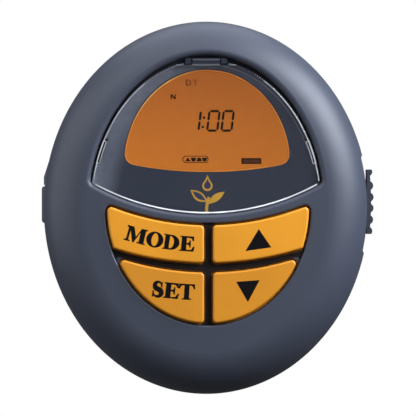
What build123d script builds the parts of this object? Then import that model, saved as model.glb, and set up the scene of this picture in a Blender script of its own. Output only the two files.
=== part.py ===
from build123d import *
from math import cos, radians, sin, sqrt
import os

# Irrigation controller: a shallow wall base and a front half, the head, hinged on it like a door.
# Units are millimetres. +X is right, +Z is up, the front faces -Y.
# The origin is the centre of the oval on the wall face of the base.

# ---- depths, as Y positions from the wall face forward ----
WALL_FACE = 0.0
BASE_FLOOR = -2.4
BASE_RIM = -17.6
GASKET_FRONT = -17.9
HEAD_BACK = -18.0
HEAD_FRONT = -44.0
KEY_WEB_FRONT = -42.8
INNER_FACE = -41.6
KEY_FRONT = -44.9
KEY_FLANGE_FRONT = -41.5
KEY_FLANGE_BACK = -40.4
PANEL_FRONT = -40.6
PANEL_BACK = -39.2
LID_FRONT = -43.6
LID_BACK = -42.2
LID_RIM_BACK = -41.1
GLASS_FRONT = -39.0
GLASS_BACK = -37.0
BOARD_FRONT = -34.0
BOARD_BACK = -32.4
CHASSIS_FRONT = -21.6
CHASSIS_BACK = -19.6

# ---- head ----
HEAD_RX = 55.0
HEAD_RZ = 63.0
HEAD_ROUND = 14.0
WALL = 2.4
BACK_EDGE_CHAMFER = 0.8
RECESS_RX = 39.4
RECESS_RZ = 51.1
RECESS_ARC_R = 77.6
RECESS_ARC_LOW = -2.0
RECESS_LIP_R = 1.7
RECESS_CORNER_R = 2.0

# ---- half-moon window ----
WINDOW_RX = 28.0
WINDOW_RZ = 32.4
WINDOW_X = 0.3
WINDOW_Z = 14.0
WINDOW_ARC_R = 133.0
WINDOW_ARC_LOW = 12.0
WINDOW_CORNER_R = 4.5

# ---- behind the window ----
PANEL_FLANGE = 2.2
PANE_FRONT = -40.5
PANE_STEP = -40.0
PANE_BACK = -39.3
PANE_FLANGE = 1.0
GLASS_GROW = 1.6
LEDGE_Z = 9.5
LEDGE_WIDE = 44.0
LEDGE_TALL = 6.0
GUIDE_BACK = -34.5
ZEBRA_HALF = 21.0
ZEBRA_LOW, ZEBRA_HIGH = 7.2, 9.4
LED_X = 30.8
LED_WIDE, LED_DEEP = 1.5, 1.4
LED_LOW, LED_HIGH = 15.0, 18.5
BOARD_RX, BOARD_RZ = 46.0, 52.5
CHIP_HALF = 7.0
CHIP_LOW = -8.0
CHIP_TALL = 1.6
CRYSTAL_X, CRYSTAL_Z = 18.0, -4.0
CRYSTAL_R, CRYSTAL_LONG = 1.2, 6.0
CAPACITOR_X, CAPACITOR_Z = 10.0, -38.0
CAPACITOR_R, CAPACITOR_TALL = 3.0, 8.0
PLATE_RX, PLATE_RZ = 51.9, 59.9
SEAL_BACK, SEAL_FRONT = -20.0, -21.2

# ---- keys ----
KEYS_X = 0.6
KEYS_RX = 33.8
KEYS_RZ = 38.8
KEY_SPLIT_X = 0.75
KEY_HALF_GAP = 1.46
UPPER_TOP_Z, UPPER_TOP_R = -5.9, 88.0
UPPER_LOW_Z, UPPER_LOW_R = -18.5, 105.0
LOWER_TOP_Z, LOWER_TOP_R = -21.7, 96.0
KEY_CORNER_R = 1.3
KEY_GAP = 0.7
KEY_FLANGE = 1.0
KEY_EDGE_R = 0.7
KEY_LIP_R = 0.6
KEY_CENTRES = {"mode": (-17.0, -10.6), "up": (18.0, -10.6), "set": (-13.4, -28.5), "down": (14.6, -28.5)}
PLUNGER_R = 3.0
PLUNGER_BACK = -36.0
PILL_R = 2.4
PILL_BACK = -35.3
MAT_FRONT = -35.0
MAT_GROW = 2.0
DOME_R = 4.6
DOME_BORE_R = 3.5
DOME_FRONT = -37.5

# ---- lid hinge ----
LID_RX, LID_RZ = 38.8, 49.6
LID_LOW_INSET = 0.5
LID_RIM_WIDE = 1.0
LID_EDGE_R = 0.5
LID_AXIS_Z = 49.3
LID_AXIS_Y = -42.9
LID_BARREL_R = 0.85
LID_BARREL_HALF = 4.6
LID_ARM_DROP = 2.6
LID_ARM_BACK = -42.4
LID_NOTCH_DROP = 1.5
LID_PIN_R = 0.4
EAR_INNER = 5.0
EAR_OUTER = 7.0
EAR_FRONT = -43.7
EAR_HALF_TALL = 0.9

# ---- clip slots at the sides of the lid ----
CLIP_THICK = 0.9
CLIP_LOW, CLIP_HIGH = 15.0, 22.8
CLIP_BACK = -39.6
SLOT_EASE = 0.5

# ---- head hinge ----
HINGE_X = -53.0
HINGE_Y = -21.4
HINGE_PIN_R = 0.8
BARREL_R = 3.0
BARREL_LOW, BARREL_HIGH = -5.2, 7.4
BARREL_EDGE_R = 1.1
RUNNING = 0.05
NOTCH_EASE = 0.4
NOTCH_X = -49.3
LUG_LEFT, LUG_RIGHT = -55.0, -50.6
UPPER_KNUCKLE_R = 2.3
UPPER_KNUCKLE_HIGH = 10.5
TAPER_SHIFT = 1.2
TAPER_HIGH = 18.6
TAPER_TIP_R = 0.9
LOWER_KNUCKLE_R = 1.6
LOWER_KNUCKLE_LOW = -10.5
PIN_LOW, PIN_HIGH = -9.5, 13.0

# ---- side latch ----
LATCH_LOW, LATCH_HIGH = -8.9, 13.0
LATCH_INNER_X = 54.4
LATCH_OUTER_X = 55.9
LATCH_ARC_R = 110.0
LATCH_PIVOT_X = 54.3
LATCH_PIVOT_Y = -12.5
LATCH_PIN_R = 0.8
LATCH_EYE_R = 1.9
LATCH_EYE_LOW, LATCH_EYE_HIGH = -1.9, 6.0
LATCH_BACK = -14.7
LATCH_FRONT = -27.0
LATCH_LUG_R = 1.8
LATCH_LUG_TALL = 3.0
LATCH_LUG_GAP = 0.3
LATCH_EASE = 0.6
RIB_TOPS = (-7.9, -4.0, -0.1, 3.6, 7.5, 12.2)
RIB_R = 1.6
RIB_CENTRE_X = 55.15
FLANK_DEEP = 0.7
FLANK_LOW, FLANK_HIGH = -14.8, 18.4
FLANK_X = 53.0
FLANK_SLOPE = 2.0

# ---- base ----
BASE_RX = 53.5
BASE_RZ = 61.5
BASE_WALL = 3.2
SHELF_WIDE, SHELF_DEEP = 1.2, 1.2
GROOVE_INSET = 0.9
GROOVE_WIDE = 1.4
GROOVE_DEEP = 1.2
BASE_EDGE_R = 0.6
WALL_SCREW_X = 30.0
WALL_SCREW_Z = 35.0
WALL_SCREW_R = 2.25
CABLE_Y = -9.0
CABLE_R = 2.5
GROMMET_R = 4.0
GROMMET_FLANGE_R = 5.5

# ---- batteries ----
CELL_R = 7.25
CELL_LONG = 50.5
CELL_PITCH = 15.0
CELL_COUNT = 4
CELL_NUB = 1.0
CELL_NUB_R = 2.7
CELL_Y = -20.5
TROUGH_HALF_X = 28.4
TROUGH_HALF_Z = 30.4
TROUGH_WALL = 1.3
TROUGH_Z = 4.0
CONTACT_THICK = 0.5
CONTACT_HALF = 4.5
SPRING_R = 3.4
SPRING_WIRE_R = 0.35
SPRING_TURNS = 3

# ---- screws ----
BOARD_SCREWS = [(-24.0, -41.5), (24.0, -41.5), (-40.0, -9.0), (40.0, -9.0), (-33.0, 31.0), (33.0, 31.0)]
CHASSIS_SCREWS = [(-36.0, 36.0), (36.0, 36.0), (-38.0, -33.0), (38.0, -33.0)]
SCREW_R = 1.25
SCREW_HEAD_R = 2.3
SCREW_HEAD_TALL = 1.6
BOSS_R = 2.9
BOARD_SCREW_LONG = 6.0
CHASSIS_SCREW_LONG = 8.0

# ---- terminals ----
TERMINAL_BACK = -9.6
TERMINAL_LOW, TERMINAL_HIGH = -50.0, -41.0
TERMINAL_HALF = 16.0
TERMINAL_PITCH = 8.0
TERMINAL_COUNT = 4
TERMINAL_WELL_R, TERMINAL_WELL_DEEP = 2.2, 2.0
TERMINAL_HEAD_R, TERMINAL_SHANK_R = 2.0, 1.1


def slab(sketch, back, front):
    """A sketch drawn in X and Z, filled from the Y position back forward to the Y position front."""
    return extrude(Plane.XZ.offset(-back) * sketch, amount=back - front)


def at(x, z, sketch):
    return Pos(x, z) * sketch


def rod(x, z, radius, back, front):
    return slab(at(x, z, Circle(radius)), back, front)


def upright(x, y, radius, low, high):
    """A cylinder along Z."""
    return Pos(x, y, (low + high) / 2) * Cylinder(radius, high - low)


def crossways(y, z, radius, half):
    """A cylinder along X, centred on x = 0."""
    return Pos(0, y, z) * Rot(0, 90, 0) * Cylinder(radius, 2 * half)


def block(x0, x1, y0, y1, z0, z1):
    return Pos((x0 + x1) / 2, (y0 + y1) / 2, (z0 + z1) / 2) * Box(x1 - x0, y1 - y0, z1 - z0)


def arc_disc(low_z, radius, x=0.0):
    """A disc whose lowest point is at x and low_z."""
    return at(x, low_z + radius, Circle(radius))


def save(name, shape):
    if isinstance(shape, (list, tuple)):
        solids = [s for item in shape for s in item.solids()]
    else:
        solids = shape.solids()
    export_step(Compound(children=list(solids)), f"parts/{name}.step")


def recess_outline(grow=0.0):
    shape = Ellipse(RECESS_RX + grow, RECESS_RZ + grow) & arc_disc(RECESS_ARC_LOW - grow, RECESS_ARC_R + grow)
    return fillet(shape.vertices(), RECESS_CORNER_R)


def window_outline(grow=0.0):
    dome = at(WINDOW_X, WINDOW_Z, Ellipse(WINDOW_RX + grow, WINDOW_RZ + grow))
    shape = dome & arc_disc(WINDOW_ARC_LOW - grow, WINDOW_ARC_R + grow, WINDOW_X)
    return fillet(shape.vertices(), WINDOW_CORNER_R + grow)


def key_outline(name, grow=0.0):
    side = -1 if name in ("mode", "set") else 1
    half_plane = at(KEY_SPLIT_X + side * (KEY_HALF_GAP - grow + 50), 0, Rectangle(100, 200))
    shape = at(KEYS_X, 0, Ellipse(KEYS_RX + grow, KEYS_RZ + grow)) & half_plane
    if name in ("mode", "up"):
        shape = shape & arc_disc(UPPER_LOW_Z - grow, UPPER_LOW_R + grow, KEYS_X)
        shape = shape - arc_disc(UPPER_TOP_Z + grow, UPPER_TOP_R - grow, KEYS_X)
    else:
        shape = shape - arc_disc(LOWER_TOP_Z + grow, LOWER_TOP_R - grow, KEYS_X)
    return fillet(shape.vertices(), KEY_CORNER_R + grow)


def lid_outline(inset=0.0):
    shape = Ellipse(LID_RX - inset, LID_RZ - inset)
    shape &= arc_disc(RECESS_ARC_LOW + LID_LOW_INSET + inset, RECESS_ARC_R - LID_LOW_INSET - inset)
    return fillet(shape.vertices(), RECESS_CORNER_R - inset)


def clip_outline(ease=0.0):
    """The two curved bars at the sides of the lid."""
    inset = CLIP_THICK + ease
    ring = Ellipse(LID_RX + ease, LID_RZ + ease) - Ellipse(LID_RX - inset, LID_RZ - inset)
    return ring & at(0, (CLIP_LOW + CLIP_HIGH) / 2, Rectangle(100, CLIP_HIGH - CLIP_LOW + 2 * ease))


def edges_on(shape, sketch, front):
    """The edges of shape at its front that lie on the outline of sketch."""
    sides = [f for f in slab(sketch, front + 3, front - 1).faces() if abs(f.normal_at().Y) < 0.5]
    found = []
    for edge in shape.edges():
        if edge.center().Y > front + 0.6:
            continue
        points = [Vertex(edge @ t) for t in (0.1, 0.5, 0.9)]
        if all(min(side.distance_to(p) for side in sides) < 0.01 for p in points):
            found.append(edge)
    return found


def screw(x, z, seat, tip):
    """A pan-head screw along Y with its head behind seat; tip is the Y position of its point."""
    head = rod(x, z, SCREW_HEAD_R, seat + SCREW_HEAD_TALL, seat)
    head = fillet(head.edges().sort_by(Axis.Y)[-1], 0.5)
    cross = block(x - 1.4, x + 1.4, seat + 0.8, seat + SCREW_HEAD_TALL, z - 0.3, z + 0.3)
    cross += block(x - 0.3, x + 0.3, seat + 0.8, seat + SCREW_HEAD_TALL, z - 1.4, z + 1.4)
    return head + rod(x, z, SCREW_R, seat, tip) - cross


os.makedirs("parts", exist_ok=True)
KEYS = ("mode", "set", "up", "down")

# ---- front housing ----
shell = slab(Ellipse(HEAD_RX, HEAD_RZ), HEAD_BACK, HEAD_FRONT)
shell = fillet(shell.edges().sort_by(Axis.Y)[0], HEAD_ROUND)
shell = chamfer(shell.edges().sort_by(Axis.Y)[-1], BACK_EDGE_CHAMFER)
hollow = slab(Ellipse(HEAD_RX - WALL, HEAD_RZ - WALL), HEAD_BACK, INNER_FACE)
hollow = fillet(hollow.edges().sort_by(Axis.Y)[0], HEAD_ROUND - WALL)
core = slab(Ellipse(HEAD_RX - 1, HEAD_RZ - 1), HEAD_BACK, HEAD_FRONT + 1)
core = fillet(core.edges().sort_by(Axis.Y)[0], HEAD_ROUND - 1)

shell -= slab(recess_outline(), INNER_FACE + 2, HEAD_FRONT - 1)
shell = fillet(edges_on(shell, recess_outline(), HEAD_FRONT), RECESS_LIP_R)
key_recess = at(KEYS_X, 0, Ellipse(KEYS_RX + KEY_GAP, KEYS_RZ + KEY_GAP))
key_recess -= arc_disc(UPPER_TOP_Z + KEY_GAP, UPPER_TOP_R - KEY_GAP, KEYS_X)
key_recess = fillet(key_recess.vertices(), KEY_CORNER_R + KEY_GAP)
shell -= slab(key_recess, KEY_WEB_FRONT, HEAD_FRONT - 1)
shell = fillet(edges_on(shell, key_recess, HEAD_FRONT), KEY_LIP_R)
housing = shell - hollow
for name in KEYS:
    housing -= slab(key_outline(name, KEY_GAP), INNER_FACE + 1, HEAD_FRONT - 1)

# bosses for the board screws and the chassis screws
for x, z in BOARD_SCREWS[:4]:
    housing += rod(x, z, BOSS_R, BOARD_FRONT, HEAD_FRONT) & core
    housing -= rod(x, z, SCREW_R, BOARD_FRONT, BOARD_FRONT - BOARD_SCREW_LONG)
for x, z in CHASSIS_SCREWS:
    housing += rod(x, z, BOSS_R, CHASSIS_FRONT, HEAD_FRONT) & core
    housing -= rod(x, z, SCREW_R, CHASSIS_FRONT, CHASSIS_FRONT - CHASSIS_SCREW_LONG)

# walled notch for the barrel of the base
upper_low = BARREL_HIGH + NOTCH_EASE
lower_high = BARREL_LOW - NOTCH_EASE
notch_front = HINGE_Y - BARREL_R - NOTCH_EASE
notch_box = block(-60, NOTCH_X + WALL, notch_front - WALL, HEAD_BACK, lower_high - WALL, upper_low + WALL)
housing += notch_box & hollow
housing -= block(-60, NOTCH_X, notch_front, HEAD_BACK + 1, lower_high, upper_low)

# hinge knuckles of the head, above and below the barrel
knuckles = upright(HINGE_X, HINGE_Y, UPPER_KNUCKLE_R, upper_low, UPPER_KNUCKLE_HIGH)
taper_low = Pos(HINGE_X, HINGE_Y, UPPER_KNUCKLE_HIGH) * Circle(UPPER_KNUCKLE_R)
taper_high = Pos(HINGE_X + TAPER_SHIFT, HINGE_Y, TAPER_HIGH) * Circle(TAPER_TIP_R)
knuckles += loft([taper_low.face(), taper_high.face()])
knuckles += upright(HINGE_X, HINGE_Y, LOWER_KNUCKLE_R, LOWER_KNUCKLE_LOW, lower_high)
housing += knuckles
housing -= upright(HINGE_X, HINGE_Y, HINGE_PIN_R + RUNNING, PIN_LOW - 0.3, PIN_HIGH + 0.3)

# shallow hollow in the right flank round the side latch, and the flat behind the latch itself
flank = Polygon(
    (FLANK_X - 5, FLANK_LOW + 5 * FLANK_SLOPE),
    (FLANK_X + 5, FLANK_LOW - 5 * FLANK_SLOPE),
    (FLANK_X + 5, FLANK_HIGH + 5 * FLANK_SLOPE),
    (FLANK_X - 5, FLANK_HIGH - 5 * FLANK_SLOPE),
    align=None,
)
flank -= Ellipse(HEAD_RX - FLANK_DEEP, HEAD_RZ - FLANK_DEEP)
housing -= slab(flank, HEAD_BACK + 1, HEAD_FRONT - 1)
flat_low, flat_high = LATCH_LOW - LATCH_EASE, LATCH_HIGH + LATCH_EASE
flat_front = LATCH_FRONT - LATCH_EASE
housing -= block(LATCH_INNER_X - LATCH_EASE, 60, flat_front, HEAD_BACK + 1, flat_low, flat_high)
save("front_housing", housing)

# ---- panel at the bottom of the recess ----
panel = slab(recess_outline(PANEL_FLANGE), PANEL_BACK, INNER_FACE)
panel -= slab(recess_outline(0.1), PANEL_FRONT, INNER_FACE - 1)
panel &= hollow
panel -= slab(window_outline(), PANEL_BACK + 1, HEAD_FRONT)
panel -= slab(window_outline(PANE_FLANGE + 0.1), PANEL_BACK + 1, PANE_STEP)
panel -= slab(clip_outline(SLOT_EASE), PANEL_BACK + 1, HEAD_FRONT)
for side in (-1, 1):
    ear_low, ear_high = LID_AXIS_Z - EAR_HALF_TALL, LID_AXIS_Z + EAR_HALF_TALL
    ear = block(EAR_INNER, EAR_OUTER, EAR_FRONT, PANEL_FRONT + 0.5, ear_low, ear_high)
    ear &= slab(recess_outline(-0.3), PANEL_BACK, HEAD_FRONT)
    panel += ear if side > 0 else mirror(ear, Plane.YZ)
panel -= crossways(LID_AXIS_Y, LID_AXIS_Z, LID_PIN_R, EAR_OUTER + 1)
for x, z in BOARD_SCREWS[4:]:
    panel += rod(x, z, BOSS_R - 0.3, BOARD_FRONT, PANEL_BACK)
    panel -= rod(x, z, SCREW_R, BOARD_FRONT, PANEL_BACK + 0.6)
save("bezel_panel", panel)

# ---- display ----
pane = slab(window_outline(PANE_FLANGE), PANE_BACK, PANE_STEP)
pane += slab(window_outline(-0.1), PANE_STEP, PANE_FRONT)
save("display_window", pane)
save("window_seal", slab(window_outline(PANE_FLANGE) - window_outline(0.2), GLASS_FRONT, PANE_BACK))
ledge = at(0, LEDGE_Z, Rectangle(LEDGE_WIDE, LEDGE_TALL))
save("lcd_glass", slab(window_outline(GLASS_GROW) + ledge, GLASS_BACK, GLASS_FRONT))
save("light_guide", slab(window_outline(GLASS_GROW - 0.2), GUIDE_BACK, GLASS_BACK))
save("zebra_strip", block(-ZEBRA_HALF, ZEBRA_HALF, GLASS_BACK, BOARD_FRONT, ZEBRA_LOW, ZEBRA_HIGH))
leds = []
for x in (-LED_X, LED_X):
    led_x = (x - LED_WIDE / 2, x + LED_WIDE / 2)
    leds.append(block(*led_x, GUIDE_BACK - LED_DEEP, BOARD_FRONT, LED_LOW, LED_HIGH))
save("backlight_leds", leds)

# ---- circuit board and what is soldered to it ----
board = Ellipse(BOARD_RX, BOARD_RZ)
for x, z in BOARD_SCREWS:
    board -= at(x, z, Circle(SCREW_R + 0.2))
for x, z in CHASSIS_SCREWS:
    board -= at(x, z, Circle(BOSS_R + 0.8))
save("circuit_board", slab(board, BOARD_BACK, BOARD_FRONT))
chip_high = CHIP_LOW + 2 * CHIP_HALF
save("processor_chip", block(-CHIP_HALF, CHIP_HALF, BOARD_BACK, BOARD_BACK + CHIP_TALL, CHIP_LOW, chip_high))
crystal = crossways(BOARD_BACK + CRYSTAL_R, CRYSTAL_Z, CRYSTAL_R, CRYSTAL_LONG / 2)
save("crystal", Pos(CRYSTAL_X, 0, 0) * crystal)
capacitors = []
for x in (-CAPACITOR_X, CAPACITOR_X):
    capacitors.append(rod(x, CAPACITOR_Z, CAPACITOR_R, BOARD_BACK + CAPACITOR_TALL, BOARD_BACK))
save("capacitors", capacitors)
board_screws = [screw(x, z, BOARD_BACK, BOARD_FRONT - BOARD_SCREW_LONG + 1) for x, z in BOARD_SCREWS[:4]]
board_screws += [screw(x, z, BOARD_BACK, PANEL_BACK + 0.8) for x, z in BOARD_SCREWS[4:]]
save("board_screws", board_screws)

# ---- keys, their carbon pills and the rubber mat ----
mat = at(KEYS_X, 0, Ellipse(KEYS_RX + MAT_GROW, KEYS_RZ + MAT_GROW))
mat -= arc_disc(UPPER_TOP_Z + MAT_GROW, UPPER_TOP_R - MAT_GROW, KEYS_X)
mat = slab(mat, BOARD_FRONT, MAT_FRONT)
for name in KEYS:
    x, z = KEY_CENTRES[name]
    mat += rod(x, z, DOME_R, MAT_FRONT, DOME_FRONT)
    mat -= rod(x, z, DOME_BORE_R, BOARD_FRONT + 1, DOME_FRONT - 1)
    key = slab(key_outline(name), KEY_FLANGE_BACK, KEY_FRONT)
    key = fillet(key.edges().group_by(Axis.Y)[0], KEY_EDGE_R)
    key += slab(key_outline(name, KEY_FLANGE), KEY_FLANGE_BACK, KEY_FLANGE_FRONT)
    key += rod(x, z, PLUNGER_R, PLUNGER_BACK, KEY_FLANGE_BACK)
    save("key_" + name, key)
    save("pill_" + name, rod(x, z, PILL_R, PILL_BACK, PLUNGER_BACK))
save("keypad_mat", mat)

# ---- rear plate with the battery trough ----
trough_front = CELL_Y - CELL_R
plate = slab(Ellipse(PLATE_RX, PLATE_RZ), CHASSIS_BACK, CHASSIS_FRONT)
z_low, z_high = TROUGH_Z - TROUGH_HALF_Z, TROUGH_Z + TROUGH_HALF_Z
wall = TROUGH_WALL
half = TROUGH_HALF_X
outer = half + wall
plate += block(-outer, outer, trough_front - wall, CHASSIS_BACK, z_low - wall, z_high + wall)
plate -= block(-half, half, trough_front, CHASSIS_BACK + 1, z_low, z_high)
for x, z in CHASSIS_SCREWS:
    plate -= rod(x, z, SCREW_R + 0.2, CHASSIS_BACK + 1, CHASSIS_FRONT - 1)
seal_inset = WALL + 0.05
seal = Ellipse(HEAD_RX - seal_inset, HEAD_RZ - seal_inset) - Ellipse(PLATE_RX, PLATE_RZ)
seal = slab(seal, SEAL_BACK, SEAL_FRONT)
notch_room = WALL + 0.1
hinge_cut = block(-60, NOTCH_X + notch_room, -40, 0, lower_high - notch_room, upper_low + notch_room)
plate -= hinge_cut
seal -= hinge_cut
knuckle_room = upright(HINGE_X, HINGE_Y, UPPER_KNUCKLE_R + 1.0, -12, 21)
plate -= knuckle_room
seal -= knuckle_room
save("rear_plate", plate)
save("plate_seal", seal)
chassis_tip = CHASSIS_FRONT - CHASSIS_SCREW_LONG + 1
save("chassis_screws", [screw(x, z, CHASSIS_BACK, chassis_tip) for x, z in CHASSIS_SCREWS])

# ---- batteries, laid alternately left and right ----
cells, springs, contacts = [], [], []
inner = half - CONTACT_THICK
for i in range(CELL_COUNT):
    z = TROUGH_Z + (i - (CELL_COUNT - 1) / 2) * CELL_PITCH
    turn = Pos(0, CELL_Y, z) * Rot(0, 0, 180 * (i % 2))
    tail = inner - CELL_LONG
    can = Pos((inner - CELL_NUB + tail) / 2, 0, 0) * Rot(0, 90, 0) * Cylinder(CELL_R, CELL_LONG - CELL_NUB)
    nub = Pos(inner - CELL_NUB / 2, 0, 0) * Rot(0, 90, 0) * Cylinder(CELL_NUB_R, CELL_NUB)
    cells.append(turn * (fillet(can.edges(), 0.6) + nub))
    gap = inner + tail
    coil = Helix((gap - 2 * SPRING_WIRE_R) / SPRING_TURNS, gap - 2 * SPRING_WIRE_R, SPRING_R)
    wire = sweep(Plane(coil @ 0, z_dir=coil % 0) * Circle(SPRING_WIRE_R), path=coil)
    springs.append(turn * Pos(-inner + SPRING_WIRE_R, 0, 0) * Rot(0, 90, 0) * wire)
    for side in (-1, 1):
        middle = side * (inner + CONTACT_THICK / 2)
        contacts.append(turn * Pos(middle, 0, 0) * Box(CONTACT_THICK, 2 * CONTACT_HALF, 2 * CONTACT_HALF))
save("battery_cells", cells)
save("battery_springs", springs)
save("battery_contacts", contacts)

# ---- terminal block for the valve wires ----
terminals = block(-TERMINAL_HALF, TERMINAL_HALF, CHASSIS_BACK, TERMINAL_BACK, TERMINAL_LOW, TERMINAL_HIGH)
terminal_screws = []
well_floor = TERMINAL_BACK - TERMINAL_WELL_DEEP
terminal_z = (TERMINAL_LOW + TERMINAL_HIGH) / 2
for i in range(TERMINAL_COUNT):
    x = (i - (TERMINAL_COUNT - 1) / 2) * TERMINAL_PITCH
    terminals -= rod(x, terminal_z, TERMINAL_WELL_R, TERMINAL_BACK + 1, well_floor)
    terminals -= rod(x, terminal_z, TERMINAL_SHANK_R, TERMINAL_BACK, well_floor - 4)
    terminals -= block(x - 2, x + 2, well_floor - 5.5, well_floor - 2, TERMINAL_LOW - 1, TERMINAL_LOW + 3)
    terminal_screw = rod(x, terminal_z, TERMINAL_HEAD_R, well_floor + 1.5, well_floor)
    terminal_screw += rod(x, terminal_z, TERMINAL_SHANK_R, well_floor, well_floor - 3)
    slot_low, slot_high = terminal_z - 0.3, terminal_z + 0.3
    terminal_screw -= block(x - 1.6, x + 1.6, well_floor + 0.9, TERMINAL_BACK, slot_low, slot_high)
    terminal_screws.append(terminal_screw)
save("terminal_block", terminals)
save("terminal_screws", terminal_screws)

# ---- lid over the display ----
lid = slab(lid_outline(), LID_BACK, LID_FRONT)
lid = fillet(edges_on(lid, lid_outline(), LID_FRONT), LID_EDGE_R)
lid += slab(lid_outline() - lid_outline(LID_RIM_WIDE), LID_RIM_BACK, LID_BACK)
lid += slab(clip_outline(), CLIP_BACK, LID_BACK)
lid -= block(-EAR_OUTER - 0.5, EAR_OUTER + 0.5, -50, -30, LID_AXIS_Z - LID_NOTCH_DROP, 60)
arm = block(-LID_BARREL_HALF, LID_BARREL_HALF, LID_FRONT, LID_ARM_BACK, LID_AXIS_Z - LID_ARM_DROP, LID_AXIS_Z)
barrel = crossways(LID_AXIS_Y, LID_AXIS_Z, LID_BARREL_R, LID_BARREL_HALF)
lid += arm
lid += barrel
lid -= crossways(LID_AXIS_Y, LID_AXIS_Z, LID_PIN_R + RUNNING, 20)
save("display_cover", lid)
save("cover_pin", crossways(LID_AXIS_Y, LID_AXIS_Z, LID_PIN_R, EAR_OUTER - 0.3))

# ---- wall base: an oval rim, and the plate that sits on a shelf inside it ----
base = slab(Ellipse(BASE_RX, BASE_RZ), WALL_FACE, BASE_RIM)
base = fillet(base.edges(), BASE_EDGE_R)
base_inside = Ellipse(BASE_RX - BASE_WALL, BASE_RZ - BASE_WALL)
base -= slab(base_inside, WALL_FACE + 1, BASE_RIM - 1)
shelf = base_inside - Ellipse(BASE_RX - BASE_WALL - SHELF_WIDE, BASE_RZ - BASE_WALL - SHELF_WIDE)
base += slab(shelf, BASE_FLOOR, BASE_FLOOR - SHELF_DEEP)
plate_inset = BASE_WALL + 0.05
wall_plate = slab(Ellipse(BASE_RX - plate_inset, BASE_RZ - plate_inset), WALL_FACE, BASE_FLOOR)
outer = Ellipse(BASE_RX - GROOVE_INSET, BASE_RZ - GROOVE_INSET)
inset = GROOVE_INSET + GROOVE_WIDE
inner_oval = Ellipse(BASE_RX - inset, BASE_RZ - inset)
base -= slab(outer - inner_oval, BASE_RIM + GROOVE_DEEP, BASE_RIM - 1)
lug = block(LUG_LEFT, LUG_RIGHT, HINGE_Y, BASE_RIM + GROOVE_DEEP + 0.5, BARREL_LOW, BARREL_HIGH)
base_barrel = upright(HINGE_X, HINGE_Y, BARREL_R, BARREL_LOW, BARREL_HIGH)
barrel_ends = base_barrel.edges().group_by(Axis.Z)
base_barrel = fillet(barrel_ends[0] + barrel_ends[-1], BARREL_EDGE_R)
base += lug
base += base_barrel
base -= upright(HINGE_X, HINGE_Y, HINGE_PIN_R, -30, 30)
for x in (-WALL_SCREW_X, WALL_SCREW_X):
    for z in (-WALL_SCREW_Z, WALL_SCREW_Z):
        wall_plate -= rod(x, z, WALL_SCREW_R, WALL_FACE + 1, BASE_FLOOR - 1)
base -= upright(0, CABLE_Y, GROMMET_R, -70, -50)
gasket = slab(outer - inner_oval, BASE_RIM + GROOVE_DEEP, GASKET_FRONT)
gasket -= block(-60, LUG_RIGHT + 0.1, -30, 0, BARREL_LOW - 0.1, BARREL_HIGH + 0.1)

# lugs for the latch pin, either side of the eye, and room in the wall for the eye
lug_starts = (LATCH_EYE_HIGH + LATCH_LUG_GAP, LATCH_EYE_LOW - LATCH_LUG_GAP - LATCH_LUG_TALL)
for low in lug_starts:
    base += upright(LATCH_PIVOT_X, LATCH_PIVOT_Y, LATCH_LUG_R, low, low + LATCH_LUG_TALL)
    base += block(
        BASE_RX - 2,
        LATCH_PIVOT_X,
        LATCH_PIVOT_Y - LATCH_LUG_R,
        LATCH_PIVOT_Y + LATCH_LUG_R,
        low,
        low + LATCH_LUG_TALL,
    )
eye_room_low, eye_room_high = LATCH_EYE_LOW - LATCH_LUG_GAP, LATCH_EYE_HIGH + LATCH_LUG_GAP
base -= upright(LATCH_PIVOT_X, LATCH_PIVOT_Y, LATCH_EYE_R + LATCH_EASE, eye_room_low, eye_room_high)
base -= upright(LATCH_PIVOT_X, LATCH_PIVOT_Y, LATCH_PIN_R, -20, 20)
save("wall_base", base)
save("wall_plate", wall_plate)
save("base_gasket", gasket)
save("hinge_pin", upright(HINGE_X, HINGE_Y, HINGE_PIN_R, PIN_LOW, PIN_HIGH))
pin_low, pin_high = lug_starts[1], lug_starts[0] + LATCH_LUG_TALL
save("latch_pin", upright(LATCH_PIVOT_X, LATCH_PIVOT_Y, LATCH_PIN_R, pin_low, pin_high))
inner_wall = BASE_RZ - BASE_WALL
grommet = upright(0, CABLE_Y, GROMMET_R, -BASE_RZ + 0.3, -inner_wall + 0.5)
grommet += upright(0, CABLE_Y, GROMMET_FLANGE_R, -inner_wall + 0.45, -inner_wall + 1.6)
grommet -= upright(0, CABLE_Y, CABLE_R, -70, -50)
save("cable_grommet", grommet)

# ---- side latch ----
mid_z = (LATCH_LOW + LATCH_HIGH) / 2
face = at(LATCH_OUTER_X - LATCH_ARC_R, mid_z, Circle(LATCH_ARC_R))
for z in RIB_TOPS:
    bow = LATCH_ARC_R - sqrt(LATCH_ARC_R**2 - (z - mid_z) ** 2)
    face += at(RIB_CENTRE_X - bow, z, Circle(RIB_R))
span = at(LATCH_INNER_X + 5, mid_z, Rectangle(10, LATCH_HIGH - LATCH_LOW))
latch = slab(face & span, LATCH_BACK, LATCH_FRONT)
latch += upright(LATCH_PIVOT_X, LATCH_PIVOT_Y, LATCH_EYE_R, LATCH_EYE_LOW, LATCH_EYE_HIGH)
arm_inner, arm_outer = LATCH_PIVOT_X - 0.6, LATCH_OUTER_X - 0.3
latch += block(arm_inner, arm_outer, LATCH_BACK - 1, LATCH_PIVOT_Y, LATCH_EYE_LOW, LATCH_EYE_HIGH)
latch -= upright(LATCH_PIVOT_X, LATCH_PIVOT_Y, LATCH_PIN_R + RUNNING, -20, 20)
save("side_latch", latch)
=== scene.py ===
import math

import bmesh
import bpy
from mathutils import Matrix, Vector


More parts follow.
